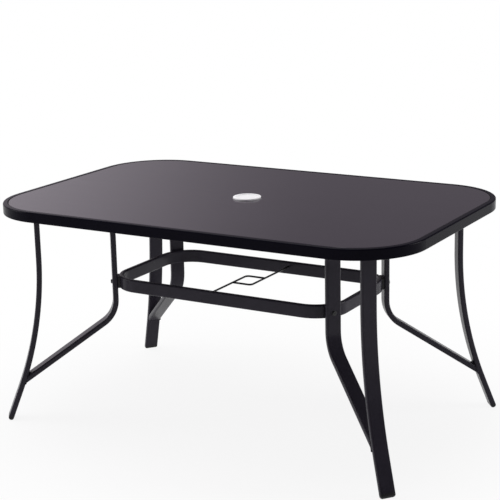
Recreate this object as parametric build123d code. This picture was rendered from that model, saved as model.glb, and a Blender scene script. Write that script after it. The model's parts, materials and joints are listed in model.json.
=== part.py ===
from build123d import *
import math
import os

# Garden table: a framed glass top on four bent tube leg loops, tied by a low stretcher ring.
# All sizes in millimetres. Origin on the floor under the middle of the top, +X along the
# length, +Y to the rear, +Z up.

# The top as a whole
table_length = 1400.0
table_width = 900.0
table_height = 700.0
top_corner_radius = 205.0

# Rim: a hollow stepped section, with a raised lip around a ledge for the glass
rim_height = 32.0
rim_width = 33.0
lip_width = 15.0
rim_wall = 1.5
rim_edge_radius = 4.0
lip_edge_radius = 0.8
rim_under_radius = 2.0

# Glass panel and the gasket that it lies on
glass_thick = 5.0
glass_sink = 0.5
glass_gap = 2.4
glass_edge = 1.0
gasket_base = 1.5
gasket_upstand = 1.6
gasket_clear = 0.4
gasket_drop = 1.2
gasket_inset = 1.0

# Hole through the glass, its flanged ring and the cap that lifts out of the ring
glass_hole = 50.0
sleeve_clear = 0.6
sleeve_wall = 3.4
cap_bore_step = 1.0
cap_under_clear = 1.2
ring_flange = 87.0
flange_thick = 5.0
flange_round = 2.5
ring_under_glass = 16.0
cap_seat = 66.0
cap_seat_depth = 2.8
cap_clear = 0.35
cap_thick = 1.8
cap_plug_depth = 8.0
cap_wall = 2.0
cap_rim_width = 4.0
cap_dish = 0.7
notch_radius = 4.0

# Flat tube of the leg loops
tube_width = 46.0
tube_thick = 17.0
tube_corner = 5.5
tube_wall = 1.5
bend_radius = 92.0

# Leg loops: each stands in an upright plane that is turned from the length axis
leg_inset_x = 133.0
leg_inset_y = 126.0
leg_angle = 38.5
leg_curve_radius = 1150.0
leg_curve_start = 521.0
leg_splay = 21.5
inner_leg_offset = 233.0
knee_height = 328.0
brace_height = 124.0
run_reach = 56.0
run_drop = 5.5

# Feet
foot_length = 14.0
foot_corner = 8.0
sole_depth = 0.9
plug_clear = 0.2
plug_depth = 22.0
plug_wall = 2.0

# End plugs of the level tube runs under the top
end_plug_lip = 3.0
end_plug_round = 1.5
end_plug_depth = 14.0

# Plates that are welded to the rim's inner wall, one at each corner
plate_thick = 3.0
plate_width = 100.0
plate_inner_end = 78.0
plate_round = 15.0
top_bolt_out = 34.0
top_bolt_in = 50.0

# Stretcher ring, bent from a narrower flat tube, and its saddles
ring_tube_width = 41.0
ring_tube_thick = 15.0
ring_tube_corner = 5.0
stretcher_height = 432.0
stretcher_bend = 95.0
saddle_thick = 5.0
saddle_width = 40.0
saddle_height = 37.0
saddle_reach = 10.0
saddle_round = 2.0

# Guide rods across the stretcher ring
rod_radius = 3.0
rod_offset = 33.0
rod_turn = 43.0
rod_bend = 12.0
rod_rise = 4.0

# Fasteners
bolt_radius = 3.0
bolt_hole_clear = 0.4
head_radius = 6.0
head_height = 3.4
head_round = 1.2
socket_width = 4.0
socket_depth = 2.0
washer_radius = 7.5
washer_thick = 1.2
nut_width = 10.0
nut_height = 5.0
thread_clear = 0.2
bolt_run_past = 1.0
insert_radius = 4.5
insert_clear = 0.1
insert_flange_radius = 6.5
insert_flange_thick = 1.2
insert_length = 10.0
insert_recess_clear = 0.5
ring_bolt_grip = 8.0

# Levels and positions that follow from the sizes above
rim_bottom = table_height - rim_height
glass_top = table_height - glass_sink
glass_bottom = glass_top - glass_thick
ledge_level = glass_bottom - gasket_base
gasket_inner = rim_width - gasket_inset
half_thick = tube_thick / 2
ring_half_thick = ring_tube_thick / 2
leg_x = table_length / 2 - leg_inset_x
leg_y = table_width / 2 - leg_inset_y
run_under = rim_bottom - run_drop
run_level = run_under + half_thick
plate_bottom = run_under + tube_thick
plate_top = plate_bottom + plate_thick
splay = math.radians(leg_splay)
plane_turn = math.radians(leg_angle)
bolt_hole_radius = bolt_radius + bolt_hole_clear
ring_sleeve_radius = glass_hole / 2 - sleeve_clear
ring_bore_radius = ring_sleeve_radius - sleeve_wall
flange_top = glass_top + flange_thick
cap_seat_level = flange_top - cap_seat_depth
cap_radius = cap_seat / 2 - cap_clear
cap_bore_radius = ring_bore_radius + cap_bore_step
cap_plug_radius = cap_bore_radius - cap_clear
plug_bottom = cap_seat_level - cap_plug_depth
saddle_face = inner_leg_offset + half_thick
stretcher_face = saddle_face + saddle_thick
bend_centre = stretcher_face + ring_half_thick + stretcher_bend
stretcher_half_length = leg_x - bend_centre * math.cos(plane_turn) + stretcher_bend
stretcher_half_width = leg_y - bend_centre * math.sin(plane_turn) + stretcher_bend
rod_level = stretcher_height + rod_rise
rod_start = stretcher_half_width - ring_half_thick

# The four corners, as signs along X and Y
corners = {
    "front_left": (-1, -1),
    "front_right": (1, -1),
    "rear_left": (-1, 1),
    "rear_right": (1, 1),
}


def corner_place(sign_x, sign_y):
    """Place of a leg plane: local X points out to the corner, local Z is up."""
    outward = (sign_x * math.cos(plane_turn), sign_y * math.sin(plane_turn), 0)
    frame = Plane(origin=(sign_x * leg_x, sign_y * leg_y, 0), x_dir=outward, z_dir=(0, 0, 1))
    return frame.location


def corner_arc(before, corner, after, radius):
    """Start, middle and end of the arc that rounds a corner between two straight lines."""
    back = (before - corner).normalized()
    ahead = (after - corner).normalized()
    half_angle = math.radians(back.get_angle(ahead)) / 2
    reach = radius / math.tan(half_angle)
    middle = corner + (back + ahead).normalized() * (radius / math.sin(half_angle) - radius)
    return corner + back * reach, middle, corner + ahead * reach


def bent_path(points, radius):
    """Path through corner points, every inner corner bent to one radius."""
    places = [Vector(*point) for point in points]
    edges = []
    start = places[0]
    for before, corner, after in zip(places, places[1:], places[2:]):
        arc_start, arc_middle, arc_end = corner_arc(before, corner, after, radius)
        edges.append(Edge.make_line(start, arc_start))
        edges.append(Edge.make_three_point_arc(arc_start, arc_middle, arc_end))
        start = arc_end
    edges.append(Edge.make_line(start, places[-1]))
    return Wire(edges)


def rounded_face(plane, corner_list):
    """Flat face in a plane, from corners given as across, up and rounding radius."""
    places = [plane.from_local_coords(Vector(across, up)) for across, up, radius in corner_list]
    count = len(places)
    ends = []
    edges = []
    for index, (across, up, radius) in enumerate(corner_list):
        corner = places[index]
        if radius > 0:
            arc = corner_arc(places[index - 1], corner, places[(index + 1) % count], radius)
            edges.append(Edge.make_three_point_arc(*arc))
            ends.append((arc[0], arc[2]))
        else:
            ends.append((corner, corner))
    for index in range(count):
        edges.append(Edge.make_line(ends[index][1], ends[(index + 1) % count][0]))
    return Face(Wire.combine(edges)[0])


def rectangle_path(half_length, half_width, radius, level):
    """Closed rounded rectangle that starts at the middle of the front side."""
    return bent_path(
        [
            (0, -half_width, level),
            (half_length, -half_width, level),
            (half_length, half_width, level),
            (-half_length, half_width, level),
            (-half_length, -half_width, level),
            (0, -half_width, level),
        ],
        radius,
    )


def top_outline(inset):
    """Outline of the table top, moved inwards by a distance."""
    return RectangleRounded(
        table_length - 2 * inset, table_width - 2 * inset, top_corner_radius - inset
    )


def flat_bar(path, shrink=0.0):
    """Bar of the flat tube's section along a path, its wide side across the leg plane."""
    start = Plane(origin=path @ 0, x_dir=(0, 1, 0), z_dir=path % 0)
    section = RectangleRounded(
        tube_width - 2 * shrink, tube_thick - 2 * shrink, tube_corner - shrink
    )
    return sweep(start * section, path=path)


def disc(radius, low, high):
    """Round disc or pin on the Z axis between two levels."""
    return Pos(0, 0, low) * extrude(Circle(radius), amount=high - low)


def edges_at(shape, level):
    """Edges of a shape that lie whole in one level plane."""
    return shape.edges().filter_by_position(Axis.Z, level, level)


def plug_body(depth):
    """Hollow insert that fits a tube's end, its closed base at the origin."""
    inset = tube_wall + plug_clear
    outside = RectangleRounded(
        tube_width - 2 * inset, tube_thick - 2 * inset, tube_corner - inset
    )
    hollow = Rectangle(tube_width - 2 * inset - 2 * plug_wall, tube_thick - 2 * inset - 2 * plug_wall)
    return extrude(outside, amount=depth) - extrude(hollow, amount=depth)


def button_bolt(length):
    """Socket bolt: head below the origin, shank up along Z."""
    head = disc(head_radius, -head_height, 0)
    head = fillet(edges_at(head, -head_height), head_round)
    socket = RegularPolygon(socket_width / 2, 6, major_radius=False)
    head -= Pos(0, 0, -head_height) * extrude(socket, amount=socket_depth)
    return head + disc(bolt_radius, 0, length)


def washer():
    """Flat washer, its upper face at the origin."""
    return disc(washer_radius, -washer_thick, 0) - disc(bolt_hole_radius, -washer_thick, 0)


def hex_nut():
    """Plain nut standing on the origin."""
    blank = extrude(RegularPolygon(nut_width / 2, 6, major_radius=False), amount=nut_height)
    return blank - disc(bolt_radius + thread_clear, 0, nut_height)


# Rim: one hollow stepped section carried round the whole top
front_section = Plane(origin=(0, -table_width / 2, 0), x_dir=(0, 1, 0), z_dir=(1, 0, 0))
top_path = rectangle_path(table_length / 2, table_width / 2, top_corner_radius, 0)
rim_outside = rounded_face(
    front_section,
    [
        (0, rim_bottom, rim_under_radius),
        (rim_width, rim_bottom, rim_under_radius),
        (rim_width, ledge_level, lip_edge_radius),
        (lip_width, ledge_level, 0),
        (lip_width, table_height, lip_edge_radius),
        (0, table_height, rim_edge_radius),
    ],
)
rim_inside = rounded_face(
    front_section,
    [
        (rim_wall, rim_bottom + rim_wall, 0),
        (rim_width - rim_wall, rim_bottom + rim_wall, 0),
        (rim_width - rim_wall, ledge_level - rim_wall, 0),
        (lip_width - rim_wall, ledge_level - rim_wall, 0),
        (lip_width - rim_wall, table_height - rim_wall, 0),
        (rim_wall, table_height - rim_wall, rim_edge_radius - rim_wall),
    ],
)
top_rim = sweep(rim_outside, path=top_path) - sweep(rim_inside, path=top_path)

# Gasket: a flat strip on the ledge, with an upstand between the glass edge and the lip
upstand_start = lip_width + gasket_clear
upstand_end = upstand_start + gasket_upstand
gasket_section = rounded_face(
    front_section,
    [
        (upstand_start, ledge_level, 0),
        (gasket_inner, ledge_level, 0),
        (gasket_inner, glass_bottom, 0),
        (upstand_end, glass_bottom, 0),
        (upstand_end, table_height - gasket_drop, 0),
        (upstand_start, table_height - gasket_drop, 0),
    ],
)
glass_gasket = sweep(gasket_section, path=top_path)

# Glass: one panel with ground edges and a hole in the middle
glass_panel = extrude(top_outline(lip_width + glass_gap), amount=glass_thick)
glass_panel = chamfer(glass_panel.edges().filter_by(Plane.XY), glass_edge)
glass_panel -= disc(glass_hole / 2, 0, glass_thick)
glass_panel = Pos(0, 0, glass_bottom) * glass_panel

# Flanged ring in the hole: a wider bore and a seat for the cap, and a finger notch on the right
turn_plane = Plane(origin=(0, 0, 0), x_dir=(1, 0, 0), z_dir=(0, -1, 0))
ring_section = rounded_face(
    turn_plane,
    [
        (ring_bore_radius, glass_bottom - ring_under_glass, 0),
        (ring_sleeve_radius, glass_bottom - ring_under_glass, 0),
        (ring_sleeve_radius, glass_top, 0),
        (ring_flange / 2, glass_top, 0),
        (ring_flange / 2, flange_top, flange_round),
        (cap_seat / 2, flange_top, 0),
        (cap_seat / 2, cap_seat_level, 0),
        (cap_bore_radius, cap_seat_level, 0),
        (cap_bore_radius, plug_bottom - cap_under_clear, 0),
        (ring_bore_radius, plug_bottom - cap_under_clear, 0),
    ],
)
centre_ring = revolve(ring_section, axis=Axis.Z)
centre_ring -= Pos(cap_seat / 2, 0, 0) * disc(notch_radius, cap_seat_level, flange_top)

# Cap: a dished disc on a hollow plug that is open below
cap_top = cap_seat_level + cap_thick
dish_edge = cap_radius - cap_rim_width
cap_section = rounded_face(
    turn_plane,
    [
        (0, cap_seat_level, 0),
        (cap_plug_radius - cap_wall, cap_seat_level, 0),
        (cap_plug_radius - cap_wall, plug_bottom, 0),
        (cap_plug_radius, plug_bottom, 0),
        (cap_plug_radius, cap_seat_level, 0),
        (cap_radius, cap_seat_level, 0),
        (cap_radius, cap_top, cap_dish),
        (dish_edge, cap_top, 0),
        (dish_edge - cap_dish, cap_top - cap_dish, 0),
        (0, cap_top - cap_dish, 0),
    ],
)
centre_cap = revolve(cap_section, axis=Axis.Z)

# Outer leg in its own plane: upright at the top, one long curve, then a straight splayed foot
curve_end_across = leg_curve_radius * (1 - math.cos(splay))
curve_end_level = leg_curve_start - leg_curve_radius * math.sin(splay)
curve_half_across = leg_curve_radius * (1 - math.cos(splay / 2))
curve_half_level = leg_curve_start - leg_curve_radius * math.sin(splay / 2)
floor_across = curve_end_across + curve_end_level * math.tan(splay)
foot_centre = foot_length - half_thick
foot_cut_level = half_thick - sole_depth + foot_centre * math.cos(splay)
foot_cut = Vector(floor_across - foot_cut_level * math.tan(splay), 0, foot_cut_level)
outer_path = Wire(
    [
        Edge.make_line((0, 0, run_level), (0, 0, leg_curve_start)),
        Edge.make_three_point_arc(
            (0, 0, leg_curve_start),
            (curve_half_across, 0, curve_half_level),
            (curve_end_across, 0, curve_end_level),
        ),
        Edge.make_line((curve_end_across, 0, curve_end_level), foot_cut),
    ]
)
outer_bar = flat_bar(outer_path)

# Inner leg in the same plane: brace from the outer leg, knee, upright, top bend and level run
brace_drop = leg_curve_start - brace_height
brace_across = leg_curve_radius - math.sqrt(leg_curve_radius**2 - brace_drop**2)
inner_path = bent_path(
    [
        (brace_across, 0, brace_height),
        (-inner_leg_offset, 0, knee_height),
        (-inner_leg_offset, 0, run_level),
        (run_reach, 0, run_level),
    ],
    bend_radius,
)
inner_bar = flat_bar(inner_path)

# Both tubes are hollow. The outer leg's top is shaped to the level run, and the brace's end
# is shaped to the outer leg, which runs on past it in one piece
run_bar = flat_bar(Edge.make_line((-run_reach, 0, run_level), (run_reach, 0, run_level)))
outer_bar -= run_bar
outer_leg = outer_bar - flat_bar(outer_path, tube_wall)
inner_leg = inner_bar - flat_bar(inner_path, tube_wall) - outer_bar
for bolt_place in (top_bolt_out, -top_bolt_in):
    inner_leg -= Pos(bolt_place, 0, 0) * disc(bolt_hole_radius, run_under, plate_bottom)
outer_leg = outer_leg.solids().sort_by(SortBy.VOLUME)[-1]
inner_leg = inner_leg.solids().sort_by(SortBy.VOLUME)[-1]

# A line through the inner leg at the stretcher's level, for the bolt that holds the ring
ring_bolt_line = Plane(
    origin=(-inner_leg_offset + half_thick, 0, stretcher_height),
    x_dir=(0, 1, 0),
    z_dir=(-1, 0, 0),
)
inner_leg -= ring_bolt_line * disc(bolt_hole_radius, 0, tube_thick)

# Foot cap: a rounded end on the square tube end, with a small level sole, and an insert
foot_frame = Plane(
    origin=foot_cut, x_dir=(0, 1, 0), z_dir=(math.sin(splay), 0, -math.cos(splay))
)
foot_end = extrude(RectangleRounded(tube_width, tube_thick, tube_corner), amount=foot_length)
foot_end &= extrude(
    Plane.YZ * Rot(0, 0, 90) * SlotOverall(2 * foot_length, tube_thick), amount=tube_width, both=True
)
foot_end &= extrude(
    Plane.XZ * RectangleRounded(tube_width, 2 * foot_length, foot_corner), amount=tube_width, both=True
)
below_floor = Pos(floor_across, 0, -tube_width / 2) * Box(4 * tube_width, 2 * tube_width, tube_width)
foot_cap = foot_frame * foot_end - below_floor
foot_cap += foot_frame * mirror(plug_body(plug_depth), Plane.XY)

# End plug of the level run: a thin rounded lip and an insert in the tube
end_frame = Plane(origin=(run_reach, 0, run_level), x_dir=(0, 1, 0), z_dir=(1, 0, 0))
end_lip = extrude(RectangleRounded(tube_width, tube_thick, tube_corner), amount=end_plug_lip)
end_lip = fillet(edges_at(end_lip, end_plug_lip), end_plug_round)
end_plug = end_frame * (end_lip + mirror(plug_body(end_plug_depth), Plane.XY))

# Stretcher: the flat tube on edge, bent to a closed ring
stretcher_path = rectangle_path(
    stretcher_half_length, stretcher_half_width, stretcher_bend, stretcher_height
)
stretcher_frame = Plane(origin=stretcher_path @ 0, x_dir=(0, 0, 1), z_dir=stretcher_path % 0)
stretcher_bar = sweep(
    stretcher_frame * RectangleRounded(ring_tube_width, ring_tube_thick, ring_tube_corner),
    path=stretcher_path,
)
stretcher_hollow = sweep(
    stretcher_frame
    * RectangleRounded(
        ring_tube_width - 2 * tube_wall,
        ring_tube_thick - 2 * tube_wall,
        ring_tube_corner - tube_wall,
    ),
    path=stretcher_path,
)
stretcher_ring = stretcher_bar - stretcher_hollow

# The stretcher's bar as seen from one leg plane, to shape the pieces that lie against it
reference_place = corner_place(*corners["rear_right"])
local_bar = reference_place.inverse() * stretcher_bar

# Saddle: a block between inner leg and ring, its far side hollowed to the ring's bend
saddle_depth = saddle_thick + saddle_reach
saddle = extrude(
    RectangleRounded(saddle_height, saddle_width, saddle_round), amount=saddle_depth
)
saddle_plane = Plane(
    origin=(-saddle_face, 0, stretcher_height), x_dir=(0, 0, 1), z_dir=(-1, 0, 0)
)
insert_recess = insert_flange_radius + insert_recess_clear
recess_start = saddle_thick - insert_flange_thick - insert_recess_clear
saddle -= disc(bolt_hole_radius, 0, saddle_depth)
saddle -= disc(insert_recess, recess_start, saddle_depth)
saddle = saddle_plane * saddle - local_bar
saddle = saddle.solids().sort_by(SortBy.VOLUME)[-1]

# Threaded insert in the ring's outer wall, its flange shaped to the bend
insert_flange = disc(insert_flange_radius, saddle_thick - insert_flange_thick, saddle_depth)
insert_flange = saddle_plane * insert_flange - local_bar
insert_flange = insert_flange.solids().sort_by(Axis.X)[-1]
insert_sleeve = disc(
    insert_radius, saddle_thick - insert_flange_thick, saddle_thick + insert_length
)
insert_thread = disc(
    bolt_radius + thread_clear, saddle_thick - insert_flange_thick, saddle_thick + insert_length
)
ring_insert = insert_flange + saddle_plane * insert_sleeve - saddle_plane * insert_thread
insert_hole = saddle_plane * disc(
    insert_radius + insert_clear, saddle_thick - insert_flange_thick, saddle_thick + ring_half_thick
)

# Bolt and washer through the inner leg into the insert
ring_bolt_length = washer_thick + tube_thick + saddle_thick + ring_bolt_grip
ring_bolt = ring_bolt_line * Pos(0, 0, -washer_thick) * button_bolt(ring_bolt_length)
ring_washer = ring_bolt_line * washer()

# Bolts, washers and nuts that hold the level run to its corner plate
top_bolt_length = washer_thick + tube_thick + plate_thick + nut_height + bolt_run_past
top_bolt_set = []
top_washer_set = []
top_nut_set = []
for bolt_place in (top_bolt_out, -top_bolt_in):
    under_run = Pos(bolt_place, 0, run_under)
    top_bolt_set.append(under_run * Pos(0, 0, -washer_thick) * button_bolt(top_bolt_length))
    top_washer_set.append(under_run * washer())
    top_nut_set.append(Pos(bolt_place, 0, plate_top) * hex_nut())

# Corner plate in the leg plane, before its outer end is trimmed to the rim's inner wall
plate_length = plate_inner_end + top_corner_radius
plate_blank = extrude(RectangleRounded(plate_length, plate_width, plate_round), amount=plate_thick)
plate_blank = Pos(plate_length / 2 - plate_inner_end, 0, plate_bottom) * plate_blank
for bolt_place in (top_bolt_out, -top_bolt_in):
    plate_blank -= Pos(bolt_place, 0, 0) * disc(bolt_hole_radius, plate_bottom, plate_top)
plate_limit = Pos(0, 0, plate_bottom) * extrude(top_outline(rim_width), amount=plate_thick)

# Guide rods: one from the front rail and one from the rear, each ending on the other
rod_path = bent_path(
    [
        (-rod_offset, -rod_start, rod_level),
        (-rod_offset, rod_turn, rod_level),
        (rod_offset, rod_turn, rod_level),
    ],
    rod_bend,
)
rod_frame = Plane(origin=rod_path @ 0, z_dir=rod_path % 0)
rod_bar = sweep(rod_frame * Circle(rod_radius), path=rod_path)
rod_straight = rod_frame * disc(rod_radius, 0, rod_start + rod_turn)
half_turn = Rot(0, 0, 180)
guide_rod_front = rod_bar - half_turn * rod_straight
guide_rod_front = guide_rod_front.solids().sort_by(SortBy.VOLUME)[-1]
guide_rod_rear = half_turn * guide_rod_front

# Put every piece in its place; each name becomes one file
nodes = {
    "top_rim": top_rim,
    "glass_panel": glass_panel,
    "glass_gasket": glass_gasket,
    "centre_ring": centre_ring,
    "centre_cap": centre_cap,
    "guide_rod_front": guide_rod_front,
    "guide_rod_rear": guide_rod_rear,
}
groups = {
    "ring_bolts": [],
    "ring_washers": [],
    "ring_inserts": [],
    "top_bolts": [],
    "top_washers": [],
    "top_nuts": [],
}
for corner_name, signs in corners.items():
    place = corner_place(*signs)
    nodes["corner_plate_" + corner_name] = (place * plate_blank) & plate_limit
    nodes["outer_leg_" + corner_name] = place * outer_leg
    nodes["inner_leg_" + corner_name] = place * inner_leg
    nodes["foot_cap_" + corner_name] = place * foot_cap
    nodes["end_plug_" + corner_name] = place * end_plug
    nodes["ring_saddle_" + corner_name] = place * saddle
    stretcher_ring -= place * insert_hole
    groups["ring_bolts"].append(place * ring_bolt)
    groups["ring_washers"].append(place * ring_washer)
    groups["ring_inserts"].append(place * ring_insert)
    groups["top_bolts"] += [place * bolt for bolt in top_bolt_set]
    groups["top_washers"] += [place * ring for ring in top_washer_set]
    groups["top_nuts"] += [place * nut for nut in top_nut_set]
nodes["stretcher_ring"] = stretcher_ring
for group_name, pieces in groups.items():
    nodes[group_name] = Compound(children=[piece.solid() for piece in pieces])

# Write one file for each node
os.makedirs("parts", exist_ok=True)
for node_name, shape in nodes.items():
    export_step(shape, "parts/" + node_name + ".step")
    print(node_name, len(shape.solids()), "solid(s)", round(shape.volume), "mm3")
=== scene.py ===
# %% [markdown]
# # A garden table with a dark glass top
# The table comes in as a finished CAD model, in metres, standing on the floor at z = 0.
# Its solids are never moved here. This lesson lights it, points a camera at it, gives every
# surface a procedural finish and adds the small things a CAD model leaves out.

# %% Load the table
import json
import math
import bmesh
import bpy
from mathutils import Matrix, Vector


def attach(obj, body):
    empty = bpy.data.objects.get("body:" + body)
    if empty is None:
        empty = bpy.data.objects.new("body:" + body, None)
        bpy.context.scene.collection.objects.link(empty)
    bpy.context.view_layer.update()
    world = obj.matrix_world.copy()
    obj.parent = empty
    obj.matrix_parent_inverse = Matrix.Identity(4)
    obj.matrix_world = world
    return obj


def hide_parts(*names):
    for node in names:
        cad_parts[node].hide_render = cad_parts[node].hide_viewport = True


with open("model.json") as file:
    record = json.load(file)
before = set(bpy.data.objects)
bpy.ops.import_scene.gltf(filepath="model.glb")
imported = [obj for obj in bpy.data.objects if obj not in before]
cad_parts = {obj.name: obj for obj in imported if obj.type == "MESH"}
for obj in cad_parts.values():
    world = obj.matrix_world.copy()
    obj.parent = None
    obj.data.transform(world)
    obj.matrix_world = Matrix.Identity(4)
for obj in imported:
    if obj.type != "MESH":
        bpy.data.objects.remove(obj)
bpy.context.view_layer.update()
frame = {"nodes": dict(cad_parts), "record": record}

nodes = frame["nodes"]
print("solids loaded:", len(nodes))

# %% [markdown]
# ## Camera
# The camera stands where the photograph was taken from: ahead of the table, to its right and
# above the top. It could be aimed with a Track To constraint, but the photograph is turned by
# about a degree, which that would lose. So its right and up directions, worked out from the
# outlines of the top, the legs and the stretcher ring, are written here, and the third follows
# from them. It aims above the middle of the table, which then sits low in the frame.

# %% Place the camera
image_size = 500
focal_pixels = 1397.47
eye = Vector((2.14010, -3.61761, 1.61235))
eye_right = Vector((0.86397652, 0.50305242, -0.02197357))
eye_up = Vector((-0.10672285, 0.22559147, 0.96835878))
eye_back = eye_right.cross(eye_up)

camera_data = bpy.data.cameras.new("photo_camera")
camera_data.sensor_width = 36
camera_data.sensor_fit = "HORIZONTAL"
camera_data.lens = focal_pixels / image_size * camera_data.sensor_width
camera = bpy.data.objects.new("photo_camera", camera_data)
turn = Matrix((eye_right, eye_up, eye_back)).transposed()
camera.matrix_world = Matrix.Translation(eye) @ turn.to_4x4()
bpy.context.collection.objects.link(camera)
bpy.context.scene.camera = camera
print("lens", round(camera_data.lens, 2), "mm")

# %% [markdown]
# ## Stage
# A product picture stands on white paper. The floor is a wide disc that takes the table's
# soft shadow near its middle. Further out it fades to plain white for the camera, so that no
# horizon shows. Brighter lamps would whiten it too, but they would also bleach the table, so
# the Light Path node tells the paper which rays are to find white.

# %% Helpers for materials
scene = bpy.context.scene
scene.view_settings.view_transform = "Standard"


def new_material(name):
    """A material with only its output and a Principled shader, joined up."""
    material = bpy.data.materials.new(name)
    material.use_nodes = True
    tree = material.node_tree
    tree.nodes.clear()
    output = tree.nodes.new("ShaderNodeOutputMaterial")
    shader = tree.nodes.new("ShaderNodeBsdfPrincipled")
    tree.links.new(shader.outputs["BSDF"], output.inputs["Surface"])
    return material, tree, shader, output


def white_rays(tree, kinds):
    """A value of one for rays of the named kinds, which are to find plain white."""
    rays = tree.nodes.new("ShaderNodeLightPath")
    total = None
    for kind in kinds:
        largest = tree.nodes.new("ShaderNodeMath")
        largest.operation = "MAXIMUM"
        largest.inputs[0].default_value = 0.0
        if total:
            tree.links.new(total.outputs["Value"], largest.inputs[0])
        tree.links.new(rays.outputs[kind], largest.inputs[1])
        total = largest
    return total


print("view transform:", scene.view_settings.view_transform)

# %% Floor disc
floor_radius = 14.0
floor_mesh = bpy.data.meshes.new("floor")
shape = bmesh.new()
bmesh.ops.create_circle(shape, cap_ends=True, segments=64, radius=floor_radius)
shape.to_mesh(floor_mesh)
shape.free()
floor = bpy.data.objects.new("floor", floor_mesh)
bpy.context.collection.objects.link(floor)
print("floor radius", floor_radius)

# %% Floor paper
fade_start = 0.5
fade_end = 1.5
least_white = 0.87

floor_paper, tree, shader, output = new_material("floor_paper")
shader.inputs["Base Color"].default_value = (0.86, 0.86, 0.86, 1)
shader.inputs["Roughness"].default_value = 0.9
shader.inputs["Specular IOR Level"].default_value = 0.1
white = tree.nodes.new("ShaderNodeEmission")
white.inputs["Color"].default_value = (1, 1, 1, 1)
seen = white_rays(tree, ("Is Camera Ray", "Is Glossy Ray", "Is Transmission Ray"))
place = tree.nodes.new("ShaderNodeTexCoord")
distance = tree.nodes.new("ShaderNodeVectorMath")
distance.operation = "LENGTH"
fade = tree.nodes.new("ShaderNodeMapRange")
fade.interpolation_type = "SMOOTHSTEP"
fade.inputs["From Min"].default_value = fade_start
fade.inputs["From Max"].default_value = fade_end
fade.inputs["To Min"].default_value = least_white
share = tree.nodes.new("ShaderNodeMath")
share.operation = "MULTIPLY"
blend = tree.nodes.new("ShaderNodeMixShader")
tree.links.new(place.outputs["Object"], distance.inputs[0])
tree.links.new(distance.outputs["Value"], fade.inputs["Value"])
tree.links.new(seen.outputs["Value"], share.inputs[0])
tree.links.new(fade.outputs["Result"], share.inputs[1])
tree.links.new(share.outputs["Value"], blend.inputs["Fac"])
tree.links.new(shader.outputs["BSDF"], blend.inputs[1])
tree.links.new(white.outputs["Emission"], blend.inputs[2])
tree.links.new(blend.outputs["Shader"], output.inputs["Surface"])
floor_mesh.materials.append(floor_paper)
print("floor is plain white from", fade_end, "m outwards")

# %% [markdown]
# ## Light
# The camera sees the world as plain white. Gloss sees a studio: a pale, faintly purple
# backdrop behind the table that is brighter on its left, and a dim room behind the camera.
# Real cards on stands would do the same, but a world with two smooth slopes needs no extra
# objects. It gives the black glass its soft change from pale to dark grey. A broad lamp
# overhead lights the top and the floor, and two smaller ones at the ends shape the legs.

# %% Slopes of the studio
world = bpy.data.worlds.new("studio")
scene.world = world
world.use_nodes = True
sky = world.node_tree
sky.nodes.clear()
sky_output = sky.nodes.new("ShaderNodeOutputWorld")
sky_white = sky.nodes.new("ShaderNodeBackground")
sky_way = sky.nodes.new("ShaderNodeTexCoord")


def sky_slope(direction, low, high, dim, bright):
    """Strength that rises smoothly from dim to bright along a direction in the sky."""
    along = sky.nodes.new("ShaderNodeVectorMath")
    along.operation = "DOT_PRODUCT"
    along.inputs[1].default_value = direction
    slope = sky.nodes.new("ShaderNodeMapRange")
    slope.interpolation_type = "SMOOTHSTEP"
    slope.inputs["From Min"].default_value = low
    slope.inputs["From Max"].default_value = high
    slope.inputs["To Min"].default_value = dim
    slope.inputs["To Max"].default_value = bright
    sky.links.new(sky_way.outputs["Generated"], along.inputs[0])
    sky.links.new(along.outputs["Value"], slope.inputs["Value"])
    return slope


behind = sky_slope(direction=(-0.506, 0.863, 0.0), low=-0.3, high=0.6, dim=0.25, bright=1.0)
leftward = sky_slope(direction=(-0.863, -0.506, 0.0), low=-0.06, high=0.30, dim=0.20, bright=0.86)
print("studio slopes:", behind.name, "and", leftward.name)

# %% World
backdrop_tint = (1.0, 0.925, 1.0, 1)

sky_room = sky.nodes.new("ShaderNodeMath")
sky_room.operation = "MULTIPLY"
sky_power = sky.nodes.new("ShaderNodeMix")
sky_power.inputs["B"].default_value = 1.0
sky_seen = white_rays(sky, ("Is Camera Ray", "Is Transmission Ray"))
sky_tint = sky.nodes.new("ShaderNodeMix")
sky_tint.data_type = "RGBA"
sky_tint.inputs["A"].default_value = backdrop_tint
sky_tint.inputs["B"].default_value = (1, 1, 1, 1)
sky.links.new(behind.outputs["Result"], sky_room.inputs[0])
sky.links.new(leftward.outputs["Result"], sky_room.inputs[1])
sky.links.new(sky_room.outputs["Value"], sky_power.inputs["A"])
sky.links.new(sky_seen.outputs["Value"], sky_power.inputs["Factor"])
sky.links.new(sky_power.outputs["Result"], sky_white.inputs["Strength"])
sky.links.new(sky_seen.outputs["Value"], sky_tint.inputs["Factor"])
sky.links.new(sky_tint.outputs["Result"], sky_white.inputs["Color"])
sky.links.new(sky_white.outputs["Background"], sky_output.inputs["Surface"])
print("world nodes:", len(sky.nodes))

# %% Lamps


def soft_lamp(name, place, aim, size, power):
    """A square area lamp at a place, pointed at an aim."""
    data = bpy.data.lights.new(name, "AREA")
    data.size = size
    data.energy = power
    lamp = bpy.data.objects.new(name, data)
    lamp.location = place
    direction = Vector(aim) - Vector(place)
    lamp.rotation_euler = direction.to_track_quat("-Z", "Y").to_euler()
    bpy.context.collection.objects.link(lamp)
    return lamp


middle = (0, 0, 0.4)
lamps = [
    soft_lamp("top_lamp", place=(-0.4, 0.2, 3.3), aim=middle, size=2.6, power=69),
    soft_lamp("left_lamp", place=(-3.2, -1.6, 1.7), aim=middle, size=1.8, power=45),
    soft_lamp("right_lamp", place=(3.2, 1.6, 1.4), aim=middle, size=1.6, power=50),
]
print("lamps:", [lamp.name for lamp in lamps])

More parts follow.
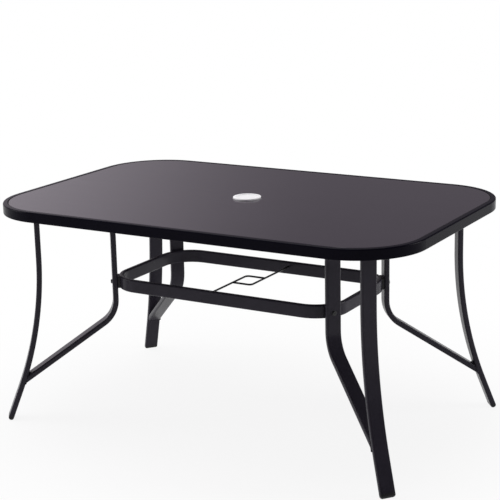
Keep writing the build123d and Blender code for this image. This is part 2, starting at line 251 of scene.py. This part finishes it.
# %% [markdown]
# ## Grain that the finishes share
# Powder coat is sprayed on as dust and baked, which leaves a fine pebbled skin. Moulded
# plastic shows the fine grain of its tool. Both are small noise patterns that push the
# normal about and vary the gloss. So one node group makes the pattern, and each finish puts
# in its own scales.

# %% Grain group


def grain_group():
    """Fine and broad noise on object coordinates: a height for bump and a mask for tone."""
    group = bpy.data.node_groups.new("surface_grain", "ShaderNodeTree")
    group.interface.new_socket("Fine Scale", in_out="INPUT", socket_type="NodeSocketFloat")
    group.interface.new_socket("Broad Scale", in_out="INPUT", socket_type="NodeSocketFloat")
    group.interface.new_socket("Height", in_out="OUTPUT", socket_type="NodeSocketFloat")
    group.interface.new_socket("Tone", in_out="OUTPUT", socket_type="NodeSocketFloat")
    start = group.nodes.new("NodeGroupInput")
    end = group.nodes.new("NodeGroupOutput")
    coords = group.nodes.new("ShaderNodeTexCoord")
    fine = group.nodes.new("ShaderNodeTexNoise")
    fine.inputs["Detail"].default_value = 2.0
    broad = group.nodes.new("ShaderNodeTexNoise")
    broad.inputs["Detail"].default_value = 3.0
    broad.inputs["Roughness"].default_value = 0.6
    group.links.new(coords.outputs["Object"], fine.inputs["Vector"])
    group.links.new(coords.outputs["Object"], broad.inputs["Vector"])
    group.links.new(start.outputs["Fine Scale"], fine.inputs["Scale"])
    group.links.new(start.outputs["Broad Scale"], broad.inputs["Scale"])
    group.links.new(fine.outputs["Fac"], end.inputs["Height"])
    group.links.new(broad.outputs["Fac"], end.inputs["Tone"])
    return group


surface_grain = grain_group()
print("group sockets:", [item.name for item in surface_grain.interface.items_tree])

# %% A finish from the grain


def grained(name, dark, light, gloss, fine, broad, bump, depth):
    """A Principled finish whose colour, gloss and bump follow the grain group."""
    material, tree, shader, _ = new_material(name)
    grain = tree.nodes.new("ShaderNodeGroup")
    grain.node_tree = surface_grain
    grain.inputs["Fine Scale"].default_value = fine
    grain.inputs["Broad Scale"].default_value = broad
    tone = tree.nodes.new("ShaderNodeMix")
    tone.data_type = "RGBA"
    tone.inputs["A"].default_value = (*dark, 1)
    tone.inputs["B"].default_value = (*light, 1)
    tree.links.new(grain.outputs["Tone"], tone.inputs["Factor"])
    tree.links.new(tone.outputs["Result"], shader.inputs["Base Color"])
    rough = tree.nodes.new("ShaderNodeMapRange")
    rough.inputs["To Min"].default_value = gloss[0]
    rough.inputs["To Max"].default_value = gloss[1]
    tree.links.new(grain.outputs["Tone"], rough.inputs["Value"])
    tree.links.new(rough.outputs["Result"], shader.inputs["Roughness"])
    pebble = tree.nodes.new("ShaderNodeBump")
    pebble.inputs["Strength"].default_value = bump
    pebble.inputs["Distance"].default_value = depth
    tree.links.new(grain.outputs["Height"], pebble.inputs["Height"])
    tree.links.new(pebble.outputs["Normal"], shader.inputs["Normal"])
    return material, tree, shader


print("nodes in the grain group:", len(surface_grain.nodes))

# %% [markdown]
# ## Finishes
# The real table is powder coated steel, with moulded feet and plugs, a rubber gasket and
# blackened bolts. They differ in tone, gloss and size of grain, so each is the same grained
# shader with its own values. A low specular level keeps the black coats from turning grey
# where they are seen at a slant.

# %% Coats, plastics and rubber
frame_coat, _, frame_shader = grained(
    "frame_coat", dark=(0.0250, 0.0225, 0.0315), light=(0.0385, 0.0350, 0.0470), gloss=(0.22, 0.30),
    fine=900, broad=14, bump=0.08, depth=0.0004)
frame_shader.inputs["Specular IOR Level"].default_value = 0.12
rim_coat, _, rim_shader = grained(
    "rim_coat", dark=(0.0036, 0.0030, 0.0068), light=(0.0060, 0.0053, 0.0108), gloss=(0.18, 0.25),
    fine=900, broad=12, bump=0.08, depth=0.0004)
rim_shader.inputs["Specular IOR Level"].default_value = 0.03
rod_coat, _, rod_shader = grained(
    "rod_coat", dark=(0.010, 0.0093, 0.0118), light=(0.017, 0.0160, 0.0200), gloss=(0.26, 0.36),
    fine=1100, broad=30, bump=0.08, depth=0.0003)
rod_shader.inputs["Specular IOR Level"].default_value = 0.22
black_plastic, _, plastic_shader = grained(
    "black_plastic", dark=(0.008, 0.0076, 0.0092), light=(0.014, 0.0134, 0.0160), gloss=(0.42, 0.52),
    fine=1600, broad=40, bump=0.16, depth=0.0003)
plastic_shader.inputs["Specular IOR Level"].default_value = 0.25
gasket_rubber, _, rubber_shader = grained(
    "gasket_rubber", dark=(0.003, 0.003, 0.0035), light=(0.007, 0.007, 0.007), gloss=(0.6, 0.75),
    fine=1400, broad=40, bump=0.15, depth=0.0003)
rubber_shader.inputs["Specular IOR Level"].default_value = 0.2
bolt_finish, _, _ = grained(
    "bolt_finish", dark=(0.014, 0.014, 0.016), light=(0.028, 0.028, 0.031), gloss=(0.28, 0.40),
    fine=1500, broad=60, bump=0.10, depth=0.0002)
coats = (frame_coat, rim_coat, rod_coat, black_plastic, gasket_rubber, bolt_finish)
print("grained finishes:", [coat.name for coat in coats])

# %% [markdown]
# Two finishes need one more effect each. The white ring and cap were moulded in a turned
# tool, which leaves faint circles around the middle. A wave texture could draw them, but a
# distance from the upright axis gives true circles at a known pitch. The glass has been wiped
# down along its length. Noise that is stretched that way leaves long soft streaks, which show
# only in its gloss.

# %% Turned circles on the white plastic


def turned_group():
    """Height of fine circles around the table's upright axis."""
    group = bpy.data.node_groups.new("turned_circles", "ShaderNodeTree")
    group.interface.new_socket("Pitch", in_out="INPUT", socket_type="NodeSocketFloat")
    group.interface.new_socket("Height", in_out="OUTPUT", socket_type="NodeSocketFloat")
    start = group.nodes.new("NodeGroupInput")
    end = group.nodes.new("NodeGroupOutput")
    coords = group.nodes.new("ShaderNodeTexCoord")
    flat = group.nodes.new("ShaderNodeVectorMath")
    flat.operation = "MULTIPLY"
    flat.inputs[1].default_value = (1, 1, 0)
    radius = group.nodes.new("ShaderNodeVectorMath")
    radius.operation = "LENGTH"
    turns = group.nodes.new("ShaderNodeMath")
    turns.operation = "DIVIDE"
    wave = group.nodes.new("ShaderNodeMath")
    wave.operation = "PINGPONG"
    wave.inputs[1].default_value = 0.5
    group.links.new(coords.outputs["Object"], flat.inputs[0])
    group.links.new(flat.outputs["Vector"], radius.inputs[0])
    group.links.new(radius.outputs["Value"], turns.inputs[0])
    group.links.new(start.outputs["Pitch"], turns.inputs[1])
    group.links.new(turns.outputs["Value"], wave.inputs[0])
    group.links.new(wave.outputs["Value"], end.inputs["Height"])
    return group


circle_pitch = 0.0012
white_plastic, tree, white_shader = grained(
    "white_plastic", dark=(0.80, 0.80, 0.81), light=(0.88, 0.88, 0.88), gloss=(0.40, 0.50),
    fine=1500, broad=25, bump=0.06, depth=0.0002)
circles = tree.nodes.new("ShaderNodeGroup")
circles.node_tree = turned_group()
circles.inputs["Pitch"].default_value = circle_pitch
grooves = tree.nodes.new("ShaderNodeBump")
grooves.inputs["Strength"].default_value = 0.12
grooves.inputs["Distance"].default_value = 0.0002
tree.links.new(circles.outputs["Height"], grooves.inputs["Height"])
tree.links.new(white_shader.inputs["Normal"].links[0].from_socket, grooves.inputs["Normal"])
tree.links.new(grooves.outputs["Normal"], white_shader.inputs["Normal"])
print("white plastic nodes:", len(tree.nodes))

# %% Wiped glass
wipe_stretch = (0.6, 9.0, 1.0)
wipe_scale = 6.0

dark_glass, tree, glass_shader = grained(
    "dark_glass", dark=(0.0205, 0.0150, 0.0250), light=(0.0285, 0.0212, 0.0340), gloss=(0.13, 0.18),
    fine=420, broad=5, bump=0.01, depth=0.0002)
coords = tree.nodes.new("ShaderNodeTexCoord")
along = tree.nodes.new("ShaderNodeMapping")
along.inputs["Scale"].default_value = wipe_stretch
streaks = tree.nodes.new("ShaderNodeTexNoise")
streaks.inputs["Scale"].default_value = wipe_scale
streaks.inputs["Detail"].default_value = 4.0
streak_gloss = tree.nodes.new("ShaderNodeMapRange")
streak_gloss.inputs["From Min"].default_value = 0.3
streak_gloss.inputs["From Max"].default_value = 0.7
streak_gloss.inputs["To Min"].default_value = -0.015
streak_gloss.inputs["To Max"].default_value = 0.02
gloss = tree.nodes.new("ShaderNodeMath")
gloss.operation = "ADD"
tree.links.new(coords.outputs["Object"], along.inputs["Vector"])
tree.links.new(along.outputs["Vector"], streaks.inputs["Vector"])
tree.links.new(streaks.outputs["Fac"], streak_gloss.inputs["Value"])
tree.links.new(glass_shader.inputs["Roughness"].links[0].from_socket, gloss.inputs[0])
tree.links.new(streak_gloss.outputs["Result"], gloss.inputs[1])
tree.links.new(gloss.outputs["Value"], glass_shader.inputs["Roughness"])
print("glass nodes:", len(tree.nodes))

# %% [markdown]
# Every solid keeps the material slot that its record names. A table gives each slot its
# finish, so a change to one line changes every piece of that kind.

# %% Table of finishes
finishes = {
    "rim_paint": rim_coat,
    "frame_paint": frame_coat,
    "rod_paint": rod_coat,
    "dark_glass": dark_glass,
    "gasket_rubber": gasket_rubber,
    "white_plastic": white_plastic,
    "black_plastic": black_plastic,
    "bolt_steel": bolt_finish,
}
print("slots with a finish:", len(finishes))

# %% Put the finishes on the solids
slot_of = {item["node"]: item["material_slot"] for item in frame["record"]["subparts"]}
for name, solid in nodes.items():
    solid.data.materials.clear()
    solid.data.materials.append(finishes[slot_of[name]])
print("finished solids:", len(slot_of))

# %% [markdown]
# ## Weld beads
# The tubes are welded where they meet, and a weld run is a row of small overlapping drops.
# A bump pattern could suggest them, but a bead shows in the outline of a joint, so it is real
# geometry. One drop is a low-count sphere, a little squeezed. A function lays drops along a line,
# and the same lines are then laid at all four corners, in the plane of each leg loop. A pair
# of numbers there is a distance outwards from the top of the leg and a height.

# %% Lines to weld
sides = {"front_left": (-1, -1), "front_right": (1, -1), "rear_left": (-1, 1), "rear_right": (1, 1)}
leg_place = Vector((0.567, 0.324, 0))
loop_turn = math.radians(38.5)
bead_half = 0.017
side_face = 0.0225
brace_upper = (0.0541, 0.1454)
brace_lower = (0.0636, 0.1185)
leg_top_level = 0.6622
leg_half_thick = 0.0085


def loop_point(signs, across, sideways, level):
    """A point given in the plane of one leg loop, as a place in the table's frame."""
    sign_x, sign_y = signs
    out = Vector((sign_x * math.cos(loop_turn), sign_y * math.sin(loop_turn), 0))
    aside = Vector((-out.y, out.x, 0))
    foot = Vector((sign_x * leg_place.x, sign_y * leg_place.y, level))
    return foot + out * across + aside * sideways


weld_lines = []
for signs in sides.values():
    for across, level in (brace_upper, brace_lower):
        ends = [loop_point(signs, across, side, level) for side in (-bead_half, bead_half)]
        weld_lines.append(ends)
    for side in (-side_face, side_face):
        corners = (brace_upper, brace_lower)
        ends = [loop_point(signs, across, side, level) for across, level in corners]
        weld_lines.append(ends)
    for across in (-leg_half_thick, leg_half_thick):
        ends = [loop_point(signs, across, side, leg_top_level) for side in (-bead_half, bead_half)]
        weld_lines.append(ends)
print("weld lines:", len(weld_lines))

# %% One drop
drop_shape = bmesh.new()
bmesh.ops.create_uvsphere(drop_shape, u_segments=8, v_segments=5, radius=1.0)
drop = bpy.data.meshes.new("drop")
drop_shape.to_mesh(drop)
drop_shape.free()


def set_drop(shape, place):
    """Adds one copy of the drop at a place."""
    drop.transform(place)
    shape.from_mesh(drop)
    drop.transform(place.inverted())


print("drop:", len(drop.polygons), "faces")

# %% Drops along the lines
drop_radius = 0.0021
drop_step = 0.0024
drop_squeeze = Matrix.Diagonal((1.0, 1.0, 0.8, 1.0))


def lay_bead(shape, start, end):
    """Drops at even steps from start to end, each squeezed along the line."""
    run = end - start
    count = max(2, round(run.length / drop_step))
    turn = run.to_track_quat("Z", "Y").to_matrix().to_4x4()
    form = turn @ drop_squeeze @ Matrix.Scale(drop_radius, 4)
    for index in range(count + 1):
        set_drop(shape, Matrix.Translation(start + run * index / count) @ form)


beads = bmesh.new()
for start, end in weld_lines:
    lay_bead(beads, start, end)
print("drops laid:", len(beads.faces) // len(drop.polygons))

# %% Leg welds


def add_piece(name, shape, material, body):
    """A finished mesh as an object that rides a body, smooth shaded and with its material."""
    mesh = bpy.data.meshes.new(name)
    shape.to_mesh(mesh)
    shape.free()
    mesh.shade_smooth()
    mesh.materials.append(material)
    piece = bpy.data.objects.new(name, mesh)
    bpy.context.collection.objects.link(piece)
    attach(piece, body)
    return piece


leg_welds = add_piece("leg_welds", beads, frame_coat, "table")
print("leg welds:", len(leg_welds.data.polygons), "faces")

# %% [markdown]
# The thin guide rods are tacked to the rails of the stretcher ring. A tack is a little collar
# of drops around the end of the rod, so the same drop serves again.

# %% Collars on the guide rods
rod_side = 0.033
rod_level = 0.436
rail_face = 0.1942
collar_radius = 0.0033
collar_drops = 9
tack_radius = 0.0013

tacks = bmesh.new()
for side in (-1, 1):
    for index in range(collar_drops):
        angle = 2 * math.pi * index / collar_drops
        place = Vector((
            side * rod_side + collar_radius * math.cos(angle),
            side * rail_face,
            rod_level + collar_radius * math.sin(angle)))
        set_drop(tacks, Matrix.Translation(place) @ Matrix.Scale(tack_radius, 4))
rod_welds = add_piece("rod_welds", tacks, rod_coat, "table")
bpy.data.meshes.remove(drop)
print("rod welds:", len(rod_welds.data.polygons), "faces")

# %% [markdown]
# ## Round feet
# Each leg ends in a moulded foot that is half round from the side and has rounded corners
# from the front. The solid foot has this form already, and a smoother skin takes its place
# here. It starts as a flat plate with its corners bevelled, the tube's own section. The plate
# is pulled down the leg in short steps, and each step is scaled by how far a half circle has
# closed by then. A pull leaves the face it started from behind, inside the foot, so that one is
# deleted, except the first, which closes the top. Last, the floor's plane cuts a small flat sole.

# %% Foot outline
foot_width = 0.046
foot_thick = 0.017
foot_corner = 0.0055
foot_length = 0.014
foot_round = 0.008
foot_steps = 9


def closing(depth, start, radius):
    """How far an edge has come in when it is rounded from a start depth on."""
    beyond = max(0.0, depth - start)
    return radius - math.sqrt(max(0.0, radius ** 2 - beyond ** 2))


def foot_scale(depth):
    """Width and thickness of the foot at a depth, as parts of its full size."""
    width_loss = closing(depth, foot_length - foot_round, foot_round)
    thick_loss = closing(depth, foot_length - foot_thick / 2, foot_thick / 2)
    return 1 - 2 * width_loss / foot_width, 1 - 2 * thick_loss / foot_thick


print("foot at half its length:", [round(value, 3) for value in foot_scale(foot_length / 2)])

# %% Axes of a foot
leg_splay = math.radians(21.5)
foot_start = (0.11421, 0.01272)


def foot_frame(signs):
    """Axes at the tube's end: across the leg, through its thickness and down along it."""
    origin = loop_point(signs, foot_start[0], 0, foot_start[1])
    out = (loop_point(signs, 1, 0, 0) - loop_point(signs, 0, 0, 0)).normalized()
    down = out * math.sin(leg_splay) - Vector((0, 0, 1)) * math.cos(leg_splay)
    across = Vector((-out.y, out.x, 0))
    through = down.cross(across)
    return Matrix.Translation(origin) @ Matrix((across, through, down)).transposed().to_4x4()


print("first foot starts at:", foot_frame(sides["front_left"]).translation)

# %% Pull the feet
last_share = 0.992
sharp_angle = math.radians(35)


def pull_foot(signs):
    """One foot: bevelled plate, pulled down in steps, placed on its leg and cut level."""
    shape = bmesh.new()
    bmesh.ops.create_grid(shape, x_segments=1, y_segments=1, size=0.5)
    bmesh.ops.scale(shape, vec=(foot_width, foot_thick, 1), verts=shape.verts)
    bmesh.ops.bevel(
        shape, geom=shape.verts[:], offset=foot_corner, offset_type="OFFSET", affect="VERTICES",
        segments=6, profile=0.5, material=-1)
    end = shape.faces[:]
    before = (0.0, (1.0, 1.0))
    for step in range(1, foot_steps + 1):
        share = math.sin(math.pi / 2 * step / foot_steps)
        depth = foot_length * min(share, last_share)
        now = foot_scale(depth)
        pulled = bmesh.ops.extrude_face_region(shape, geom=end)["geom"]
        if step > 1:
            bmesh.ops.delete(shape, geom=end, context="FACES_ONLY")
        end = [item for item in pulled if isinstance(item, bmesh.types.BMFace)]
        rim = [item for item in pulled if isinstance(item, bmesh.types.BMVert)]
        bmesh.ops.translate(shape, vec=(0, 0, depth - before[0]), verts=rim)
        grow = (now[0] / before[1][0], now[1] / before[1][1], 1)
        bmesh.ops.scale(shape, vec=grow, verts=rim)
        before = (depth, now)
    bmesh.ops.transform(shape, matrix=foot_frame(signs), verts=shape.verts)
    cut = bmesh.ops.bisect_plane(
        shape, geom=shape.verts[:] + shape.edges[:] + shape.faces[:], plane_co=(0, 0, 0),
        plane_no=(0, 0, -1), clear_outer=True)["geom_cut"]
    sole = [item for item in cut if isinstance(item, bmesh.types.BMEdge)]
    bmesh.ops.edgenet_fill(shape, edges=sole)
    bmesh.ops.recalc_face_normals(shape, faces=shape.faces)
    return shape


for corner, signs in sides.items():
    foot = add_piece("round_foot_" + corner, pull_foot(signs), black_plastic, "table")
    foot.data.set_sharp_from_angle(angle=sharp_angle)
    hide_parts("foot_cap_" + corner)
print("feet:", len(sides), "of", len(foot.data.polygons), "faces")
